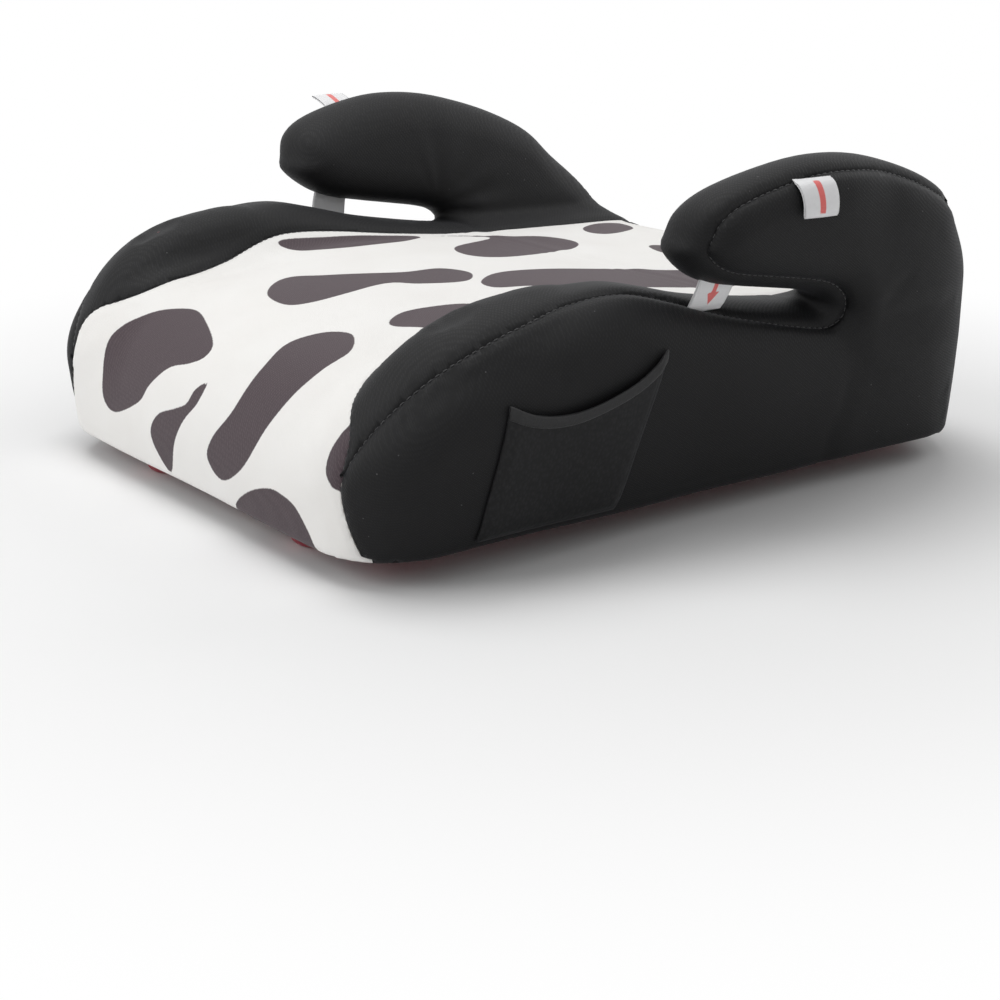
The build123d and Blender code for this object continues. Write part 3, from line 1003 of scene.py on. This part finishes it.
band_u, band_v = [g.ravel() for g in np.meshgrid(np.linspace(0, 1, 81), np.linspace(0, 1, 9),
                                                 indexing="ij")]
top_v = 1.0 - 0.085 * (1 - band_v)
y, z = pocket_place(band_u, top_v)
band_stand = 0.0024 + 0.0012 * np.sin(np.pi * band_u) + 0.0006 * np.sin(np.pi * band_v)
band_stand = band_stand - 0.0013 * (1 - np.minimum(ramp(band_u, 0, 0.05), ramp(band_u, 1, 0.95)))
band_points, _ = side_surface(y, z, band_stand)

pockets, bindings = [], []
for side, flip in (("left", False), ("right", True)):
    sheet_p, sheet_f = pocket_points, grid_faces(nu, nv)
    band_p, band_f = band_points, grid_faces(81, 9)
    if flip:
        sheet_p, sheet_f = mirrored(sheet_p, sheet_f)
        band_p, band_f = mirrored(band_p, band_f)
    pocket = new_piece("pocket_pouch_" + side, sheet_p, sheet_f, "pocket_" + side)
    keep_number(pocket, "edge_distance", np.minimum(np.minimum(u, 1 - u) * 0.08, v * 0.06))
    thicken(pocket, 0.0009, 1.0)
    pockets.append(pocket)
    band = new_piece("pocket_band_" + side, band_p, band_f, "pocket_binding_" + side)
    thicken(band, 0.0009, 0.0)
    bindings.append(band)
print("pockets:", [p.name for p in pockets])

# %% Pocket finishes
pocket_knit = Finish("ribbed_pocket_knit", (0.007, 0.007, 0.0075), 0.62, Sheen_Weight=0.07,
                     Sheen_Roughness=0.4, Specular_IOR_Level=0.26)
pocket_knit.shader.inputs["Sheen Tint"].default_value = (0.55, 0.57, 0.62, 1)
mesh_cells = pocket_knit.cells(620, pocket_knit.turned((0, 0, 0), (0.6, 1, 0.7)))
ribs = pocket_knit.waves(pocket_knit.turned((0.9, 0, 0), (0, 1, 1)), 190, 0.6)
pocket_knit.add_relief(pocket_knit.maths("ADD", mesh_cells, ribs), 0.0002, 0.6)
pocket_knit.colour(pocket_knit.blend(pocket_knit.between(mesh_cells, 0.1, 0.6),
                                     (0.0120, 0.0120, 0.0130), (0.0045, 0.0045, 0.0050)))
binding_knit = Finish("bound_edge_knit", (0.007, 0.007, 0.0075), 0.7, Sheen_Weight=0.1,
                      Sheen_Roughness=0.4)
binding_knit.add_relief(binding_knit.noise(900, 3), 0.0003, 0.8)
binding_knit.colour(binding_knit.blend(binding_knit.noise(300, 2), (0.0055, 0.0055, 0.0060),
                                       (0.0105, 0.0105, 0.0115)))
for piece in pockets:
    dress(piece, pocket_knit)
for piece in bindings:
    dress(piece, binding_knit)
print("pocket finishes done")

# %% [markdown]
# Thread is what makes a seam look sewn. Each stitch is a short rounded strand that dives into the
# cloth at both ends. The stitches follow the chain of points where two panels meet, one every
# three and a half millimetres, so they stay on the seam whatever its curve.

# %% Chains of points along the seams
def chains_between(first, second):
    """Ordered runs of points shared by two panels."""
    def sides(number):
        """All the edges of one panel."""
        chosen = fine_quads[region == number]
        pairs = np.concatenate([chosen[:, [i, (i + 1) % 4]] for i in range(4)])
        return {tuple(sorted(map(int, e))) for e in pairs}
    shared = sides(first) & sides(second)
    link = {}
    for a, b in shared:
        link.setdefault(a, []).append(b)
        link.setdefault(b, []).append(a)
    seen, runs = set(), []
    ends = [a for a, n in link.items() if len(n) == 1] + list(link)
    for start in ends:
        if start in seen:
            continue
        run, at = [start], start
        seen.add(start)
        while True:
            onward = [b for b in link[at] if b not in seen]
            if not onward:
                break
            at = onward[0]
            seen.add(at)
            run.append(at)
        if len(run) > 8:
            runs.append(run)
    return runs


def even_run(run, spacing):
    """Evenly spaced points with directions along a smoothed chain."""
    p, n = skin_points[run], normals[run]
    for _ in range(6):
        p[1:-1] = 0.5 * p[1:-1] + 0.25 * (p[:-2] + p[2:])
    far = np.concatenate([[0], np.cumsum(np.linalg.norm(np.diff(p, axis=0), axis=1))])
    at = np.arange(spacing, far[-1] - spacing, spacing)
    place = np.stack([np.interp(at, far, p[:, k]) for k in range(3)], 1)
    ahead = np.stack([np.interp(at + 0.0012, far, p[:, k]) for k in range(3)], 1) - place
    up = np.stack([np.interp(at, far, n[:, k]) for k in range(3)], 1)
    return place, ahead / np.linalg.norm(ahead, axis=1)[:, None], up


def stitch_mesh(place, ahead, up, length, radius, side_step, proud):
    """Short rounded strands along a seam as one mesh."""
    across = np.cross(ahead, up)
    across = across / np.linalg.norm(across, axis=1)[:, None]
    up = np.cross(across, ahead)
    steps = np.linspace(-1, 1, 7)
    ring = np.linspace(0, 2 * np.pi, 6, endpoint=False)
    p, faces = [], []
    for c, t, n, s in zip(place, ahead, up, across):
        base = len(p)
        for k in steps:
            middle = c + s * side_step + t * (k * length / 2) + n * (proud - 1.1 * radius * k * k)
            thick = radius * math.sqrt(max(1 - (abs(k) * 0.93) ** 6, 0.05))
            for a in ring:
                p.append(middle + n * (thick * math.cos(a)) + s * (thick * math.sin(a)))
        for i in range(6):
            for j in range(6):
                a, b = base + i * 6 + j, base + i * 6 + (j + 1) % 6
                faces.append((a, b, b + 6, a + 6))
        faces.append(tuple(base + j for j in reversed(range(6))))
        faces.append(tuple(base + 36 + j for j in range(6)))
    return p, faces


# %% Sew the panels
black_thread = Finish("black_thread", (0.02, 0.02, 0.021), 0.5, Sheen_Weight=0.3)
black_thread.add_relief(black_thread.waves(black_thread.turned((0.5, 0.5, 0)), 900, 0.4), 0.0001)
black_thread.colour(black_thread.blend(black_thread.noise(400, 2), (0.010, 0.010, 0.011),
                                       (0.026, 0.026, 0.028)))
grey_thread = Finish("grey_thread", (0.25, 0.24, 0.23), 0.55, Sheen_Weight=0.3)
grey_thread.add_relief(grey_thread.waves(grey_thread.turned((0.5, 0.5, 0)), 900, 0.4), 0.0001)
grey_thread.colour(grey_thread.blend(grey_thread.noise(400, 2), (0.16, 0.15, 0.14),
                                     (0.36, 0.34, 0.32)))
sewn = {
    "side_seam_thread_left": [(2, 4)], "side_seam_thread_right": [(3, 5)],
    "seat_seam_thread_left": [(0, 2), (0, 1), (1, 4)], "seat_seam_thread_right": [(0, 3), (1, 5)],
    "front_seam_thread_left": [(0, 4)], "front_seam_thread_right": [(0, 5)],
}
for name, meetings in sewn.items():
    p, faces_made = [], []
    for first, second in meetings:
        for run in chains_between(first, second):
            place, ahead, up = even_run(run, 0.0037)
            if len(place):
                q, f = stitch_mesh(place, ahead, up, 0.0027, 0.00026, 0.0, 0.00012)
                faces_made += [tuple(i + len(p) for i in face) for face in f]
                p += q
    thread = new_piece(name, p, faces_made, None)
    dress(thread, grey_thread if name.startswith("front") else black_thread)
    print(name, len(faces_made) // 38, "stitches")

# %% [markdown]
# Four small satin labels mark where the lap belt goes: one hangs from the top seam of each arm with
# a red bar, and one under each arm at the mouth of the gap with a red arrow. Each is a ribbon
# folded in two, so it is modelled as one long strip bent back on itself round a soft fold.

# %% Labels
def ribbon(place_at, length, width, stand, fold=0.0011):
    """A folded ribbon: place_at gives a point for a run down it, a place across and a height."""
    t = np.concatenate([np.linspace(0, 1, 26), np.linspace(1, 0, 26)])
    back = np.concatenate([np.zeros(26), np.ones(26)])
    thick = fold * ramp(t, 1.0, 0.93) * ramp(t, 0.0, 0.2)
    w = np.linspace(-0.5, 0.5, 25)
    tt, ww = [q.ravel() for q in np.meshgrid(t, w, indexing="ij")]
    bb, th = np.repeat(back, 25), np.repeat(thick, 25)
    height = stand * np.sin(tt * 1.9) + 0.0009 + 0.0006 * np.sin(2.2 * ww + 1.2) * tt
    height = height + np.where(bb > 0.5, -th / 2, th / 2)
    p = place_at(tt * length, ww * width, height)
    return p, grid_faces(52, 25), np.stack([ww, tt, bb], 1)


def label_marks(uv, arrow, width, length):
    """Signed distance to the red mark on a label, in metres."""
    a, b = uv[:, 0] * width, uv[:, 1] * length
    if arrow:
        shape = np.array([(-0.0013, 1.0), (0.0013, 1.0), (0.0013, 0.55), (0.0036, 0.55),
                          (0.0, 0.20), (-0.0036, 0.55), (-0.0013, 0.55)])
        shape[:, 1] *= length
        mark = polygon_distance(shape, a, b)
    else:
        mark = np.maximum(np.abs(a) - 0.0017, np.maximum(b - 0.88 * length, 0.10 * length - b))
    return np.where(uv[:, 2] > 0.5, 0.01, mark)


satin = Finish("white_satin_ribbon", (0.82, 0.82, 0.83), 0.36, Sheen_Weight=0.2,
               Specular_IOR_Level=0.5)
satin.add_relief(satin.waves(satin.turned((0.0, 0.3, 0.0)), 420, 0.3), 0.00006, 0.7)
red = satin.blend(satin.noise(700, 2), (0.72, 0.10, 0.095), (0.82, 0.17, 0.15))
clean = satin.blend(satin.noise(500, 2), (0.78, 0.78, 0.79), (0.85, 0.85, 0.86))
satin.colour(satin.blend(satin.between(satin.number("mark_distance"), -0.0002, 0.0002), red, clean))

lean = math.atan(side_slope)
side_out = np.array([math.cos(lean), 0, -math.sin(lean)])
side_up = np.array([math.sin(lean), 0, math.cos(lean)])
run_on = np.array([0, 1.0, 0])
seam_at = np.concatenate([skin_points[run] for run in chains_between(2, 4)])
arm_tag_y = (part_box("arm_tag_left")[0].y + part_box("arm_tag_left")[1].y) / 2
belt_tag_y = (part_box("belt_tag_left")[0].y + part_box("belt_tag_left")[1].y) / 2 + 0.011
on_top = seam_at[(np.abs(seam_at[:, 1] - arm_tag_y) < 0.004) & (seam_at[:, 2] > 0.13)].mean(0)
on_roll = seam_at[(np.abs(seam_at[:, 1] - belt_tag_y) < 0.004) & (seam_at[:, 2] < 0.118)].mean(0)
print("labels start at", on_top.round(4), on_roll.round(4))


def hanging(run, across, height):
    """The left arm's label: it hangs down over the side of the arm."""
    z = on_top[2] - 0.0005 - run * 0.96
    return side_surface(on_top[1] - 0.004 + across + 0.12 * run, z, height)[0]


def sticking_up(run, across, height):
    """The right arm's label: it stands out from the seam and a little up."""
    aim = side_out * 0.88 + side_up * 0.47
    lift = side_up * 0.88 - side_out * 0.47
    return (on_top - np.array([0, 0.010, 0]) + run[:, None] * aim + across[:, None] * run_on
            + (height - 0.0012)[:, None] * lift)


def standing(run, across, height):
    """A label at the mouth of a gap: it rises from the roll's seam towards the arm."""
    aim = side_up * 0.93 - side_out * 0.18 + run_on * 0.30
    lift = side_out * 0.95 + side_up * 0.30
    return (on_roll + run[:, None] * aim + across[:, None] * run_on
            + (height - 0.0006)[:, None] * lift)


made_labels = []
for side, sign in (("left", 1), ("right", -1)):
    for kind, way, size in (
        ("arm", hanging if side == "left" else sticking_up, (0.0200, 0.0165)),
        ("belt", standing, (0.0215, 0.0170)),
    ):
        width, length = size
        p, f, uv = ribbon(way, length, width, 0.0016 if kind == "arm" else 0.0024)
        if sign < 0:
            p, f = mirrored(p, f)
        tag = new_piece(kind + "_label_" + side, p, f, kind + "_tag_" + side)
        keep_number(tag, "mark_distance", label_marks(uv, kind == "belt", width, length))
        thicken(tag, 0.00028, 0.0)
        dress(tag, satin)
        made_labels.append(tag)
print("labels:", [t.name for t in made_labels])

# %% [markdown]
# Under the cover sit the foam pieces. They are closed forms with the same skin as the cover, set
# inwards by the thickness of the cloth, so nothing shows through and nothing rattles. They come
# from the same distance, which is the easiest way to keep two soft parts parallel.

# %% Foam
def seat_foam_form(p):
    """The foam slab on top of the seat."""
    d = padding(p) + 0.0030
    low = smooth_line(seat_line, p[:, 1]) - 0.0150 - p[:, 2]
    edge = np.maximum(np.abs(p[:, 0]) - 0.114, np.abs(p[:, 1]) - (back_y - 0.016))
    return round_meet(np.maximum(d, low), edge, 0.006)


def arm_foam_form(p):
    """The foam sleeve round the left horn, open towards its root."""
    d = padding(p) + 0.0030
    hollow = -(d + 0.0070)
    root = np.maximum(0.1210 - p[:, 2], 0.05 - p[:, 0])
    return np.maximum(np.maximum(d, hollow), root)


foam = Finish("sponge_foam", (0.80, 0.78, 0.71), 0.9, Sheen_Weight=0.1)
foam.add_relief(foam.cells(900), 0.0004, 0.8)
foam.colour(foam.blend(foam.between(foam.cells(700), 0.1, 0.6), (0.62, 0.59, 0.51),
                       (0.84, 0.82, 0.76)))
seat_p, seat_f = surface_net(seat_foam_form, (-0.126, front_y - 0.004, 0.045),
                             (0.126, back_y + 0.004, 0.110), 0.005)
arm_p, arm_f = surface_net(arm_foam_form, (0.100, horn - 0.006, 0.112),
                           (0.206, back_y + 0.006, arm_top_z + 0.006), 0.0035)
seat_pad = new_piece("seat_foam_pad", seat_p, seat_f, "seat_foam")
dress(seat_pad, foam)
for side in ("left", "right"):
    p, f = (arm_p, arm_f) if side == "left" else mirrored(arm_p, arm_f)
    sleeve = new_piece("arm_foam_sleeve_" + side, p, f, "arm_foam_" + side)
    dress(sleeve, foam)
print("foam points:", len(seat_p), len(arm_p))

# %% [markdown]
# The lower edge of the cover is folded under the base and a covered elastic cord pulls it tight.
# The cord is a round tube that follows the inner edge of the fold. It is swept along that edge,
# because a bevelled curve would not keep an even radius where the edge turns.

# %% Hem elastic
def rim_loop(inset, steps=360):
    """A closed run of points at one distance in from the walls, seen from below."""
    angle = np.linspace(0, 2 * np.pi, steps, endpoint=False)
    aim = np.stack([np.sin(angle), -np.cos(angle), np.zeros(steps)], 1)
    low, high = np.full(steps, 0.05), np.full(steps, 0.30)
    for _ in range(24):
        mid = (low + high) / 2
        inside = rim(aim * mid[:, None] + np.array([0, 0, hem_z])) > inset
        low, high = np.where(inside, mid, low), np.where(inside, high, mid)
    return aim * low[:, None]


loop = rim_loop(0.0150)
loop[:, 2] = hem_z + 0.0014
ahead = np.roll(loop, -1, axis=0) - np.roll(loop, 1, axis=0)
ahead = ahead / np.linalg.norm(ahead, axis=1)[:, None]
aside = np.cross(ahead, (0, 0, 1.0))
tube = []
for c, s in zip(loop, aside):
    for a in np.linspace(0, 2 * np.pi, 10, endpoint=False):
        tube.append(c + s * (0.00105 * math.cos(a)) + np.array([0, 0, 0.00105 * math.sin(a)]))
tube_faces = [
    (i * 10 + j, i * 10 + (j + 1) % 10, ((i + 1) % 360) * 10 + (j + 1) % 10,
     ((i + 1) % 360) * 10 + j)
    for i in range(360) for j in range(10)
]
elastic = new_piece("hem_elastic_cord", tube, tube_faces, "hem_elastic")
woven = Finish("woven_elastic", (0.03, 0.03, 0.03), 0.6, Sheen_Weight=0.3)
woven.add_relief(woven.waves(woven.turned((0, 0, 0.8)), 300, 0.5), 0.0003, 0.8)
woven.colour(woven.blend(woven.noise(400, 2), (0.018, 0.018, 0.019), (0.05, 0.05, 0.052)))
dress(elastic, woven)
print("elastic length:", round(float(np.linalg.norm(np.diff(loop, axis=0), axis=1).sum()), 3))

# %% [markdown]
# The base is one hollow plastic moulding and keeps its engineered shape, so it only gets a finish:
# dark red, half matt, slightly waxy, with the faint pebble of a blown wall and scuffed edges low
# down where it slides on the car's seat.

# %% Base plastic
plastic = Finish("dark_red_plastic", (0.30, 0.022, 0.040), 0.42, Specular_IOR_Level=0.5,
                 Coat_Weight=0.08, Coat_Roughness=0.35)
plastic.add_relief(plastic.noise(420, 3), 0.00025, 0.35)
plastic.add_relief(plastic.noise(40, 3), 0.0008, 0.15)
worn = plastic.between(plastic.node("ShaderNodeSeparateXYZ", {0: plastic.place}).outputs["Z"],
                       0.004, 0.0)
worn = plastic.maths("MULTIPLY", worn, plastic.between(plastic.noise(260, 4), 0.45, 0.7))
plastic.colour(plastic.blend(worn, plastic.blend(plastic.noise(30, 3), (0.27, 0.019, 0.035),
                                                 (0.34, 0.027, 0.047)), (0.42, 0.10, 0.11)))
plastic.roughness(plastic.between(plastic.noise(150, 3), 0.3, 0.7, 0.36, 0.52))
for node_object in list(bpy.data.objects):
    if node_object.type == "MESH" and node_object.name.split(".")[0] == "base_shell":
        for material_slot in node_object.material_slots:
            material_slot.material = plastic.material
        print("plastic on", node_object.name)

# %% [markdown]
# Each cloth panel is a stretched sheet. The size it was cut to and its flat area are worked out
# for every panel and printed. The seat panel is the only one that is nearly a rectangle.

cut_share = 0.96               # stretch cloth is cut smaller than the panel it covers
panel_fill = 0.92              # how much of its rectangle a cut panel fills
soft_sizes = {}
for name, piece in panels.items():
    flat_area = area[name] * cut_share
    longest = {"centre_panel": float(profile_run[-1]) * 0.97, "back_panel": 0.235,
               "hem_fold": 0.90}.get(name, 0.46)
    flat_size = (round(flat_area / longest / panel_fill, 3), round(longest, 3))
    soft_sizes[name] = (flat_size, round(flat_area, 4))
print("flat sizes:", soft_sizes)

# %% [markdown]
# The set is as plain as the object allows: a pale floor that reads as white, a soft overhead light,
# a softer one from the front left, and a strip behind that lifts the edges of the black cloth.

# %% Floor, light and camera
floor_mesh = bpy.data.meshes.new("floor")
floor_mesh.from_pydata([(-6, -6, 0), (6, -6, 0), (6, 6, 0), (-6, 6, 0)], [], [(0, 1, 2, 3)])
floor = bpy.data.objects.new("floor", floor_mesh)
bpy.context.scene.collection.objects.link(floor)
paper = bpy.data.materials.new("pale_floor")
paper.use_nodes = True
paper.node_tree.nodes["Principled BSDF"].inputs["Base Color"].default_value = (0.90, 0.90, 0.90, 1)
paper.node_tree.nodes["Principled BSDF"].inputs["Roughness"].default_value = 0.9
paper.node_tree.nodes["Principled BSDF"].inputs["Specular IOR Level"].default_value = 0.1
paper_nodes, paper_links = paper.node_tree.nodes, paper.node_tree.links
spot = paper_nodes.new("ShaderNodeTexCoord")
far = paper_nodes.new("ShaderNodeVectorMath")
far.operation = "LENGTH"
paper_links.new(spot.outputs["Object"], far.inputs[0])
fade = paper_nodes.new("ShaderNodeMapRange")
fade.interpolation_type = "SMOOTHSTEP"
fade.inputs["From Min"].default_value, fade.inputs["From Max"].default_value = 0.26, 0.55
paper_links.new(far.outputs["Value"], fade.inputs["Value"])
seen = paper_nodes.new("ShaderNodeLightPath")
seen_fade = paper_nodes.new("ShaderNodeMath")
seen_fade.operation = "MULTIPLY"
paper_links.new(fade.outputs["Result"], seen_fade.inputs[0])
paper_links.new(seen.outputs["Is Camera Ray"], seen_fade.inputs[1])
glow = paper_nodes.new("ShaderNodeEmission")
glow.inputs["Strength"].default_value = 1.0
mixed = paper_nodes.new("ShaderNodeMixShader")
paper_links.new(seen_fade.outputs[0], mixed.inputs[0])
paper_links.new(paper_nodes["Principled BSDF"].outputs[0], mixed.inputs[1])
paper_links.new(glow.outputs[0], mixed.inputs[2])
paper_links.new(mixed.outputs[0], paper_nodes["Material Output"].inputs["Surface"])
floor_mesh.materials.append(paper)

world = bpy.data.worlds.new("soft_white")
bpy.context.scene.world = world
world.use_nodes = True
nodes, links = world.node_tree.nodes, world.node_tree.links
nodes["Background"].inputs["Color"].default_value = (1, 1, 1, 1)
path = nodes.new("ShaderNodeLightPath")
first = nodes.new("ShaderNodeMath")
first.operation = "MAXIMUM"
links.new(path.outputs["Is Camera Ray"], first.inputs[0])
links.new(path.outputs["Is Glossy Ray"], first.inputs[1])
second = nodes.new("ShaderNodeMath")
second.operation = "MAXIMUM"
links.new(first.outputs[0], second.inputs[0])
links.new(path.outputs["Is Transmission Ray"], second.inputs[1])
level = nodes.new("ShaderNodeMapRange")
links.new(second.outputs[0], level.inputs["Value"])
level.inputs["To Min"].default_value = 0.42
level.inputs["To Max"].default_value = 1.0
links.new(level.outputs["Result"], nodes["Background"].inputs["Strength"])


def soft_light(name, place, aim, size, power):
    """A square lamp that looks at a point."""
    lamp = bpy.data.lights.new(name, "AREA")
    lamp.shape, lamp.size, lamp.energy = "SQUARE", size, power
    made = bpy.data.objects.new(name, lamp)
    made.location = place
    made.rotation_euler = (Vector(aim) - Vector(place)).to_track_quat("-Z", "Y").to_euler()
    bpy.context.scene.collection.objects.link(made)


soft_light("overhead", (-0.25, -0.15, 1.6), (0, 0, 0.05), 1.2, 13)
soft_light("front_left", (-0.5, -1.7, 1.0), (0, 0, 0.08), 0.9, 9)
soft_light("rear_strip", (0.2, 1.5, 1.1), (0, 0, 0.1), 0.8, 4)

camera = bpy.data.objects.new("camera", bpy.data.cameras.new("camera"))
bpy.context.scene.collection.objects.link(camera)
camera.data.sensor_width = 36
camera.data.lens = 66.4
to_right, to_up, to_back = (0.6018, 0.7986, 0.0), (-0.2465, 0.1858, 0.9512), (0.7596, -0.5724, 0.3087)
turn = Matrix((to_right, to_up, to_back)).transposed().to_4x4()
camera.matrix_world = Matrix.Translation((0.7536, -0.5813, 0.2774)) @ turn
bpy.context.scene.camera = camera
bpy.context.scene.view_settings.view_transform = "Standard"
print("camera at", tuple(round(c, 3) for c in camera.location))

# %% Sizes, then finish
print("CAD box", [round(v, 4) for v in (*cad_low, *cad_high)])
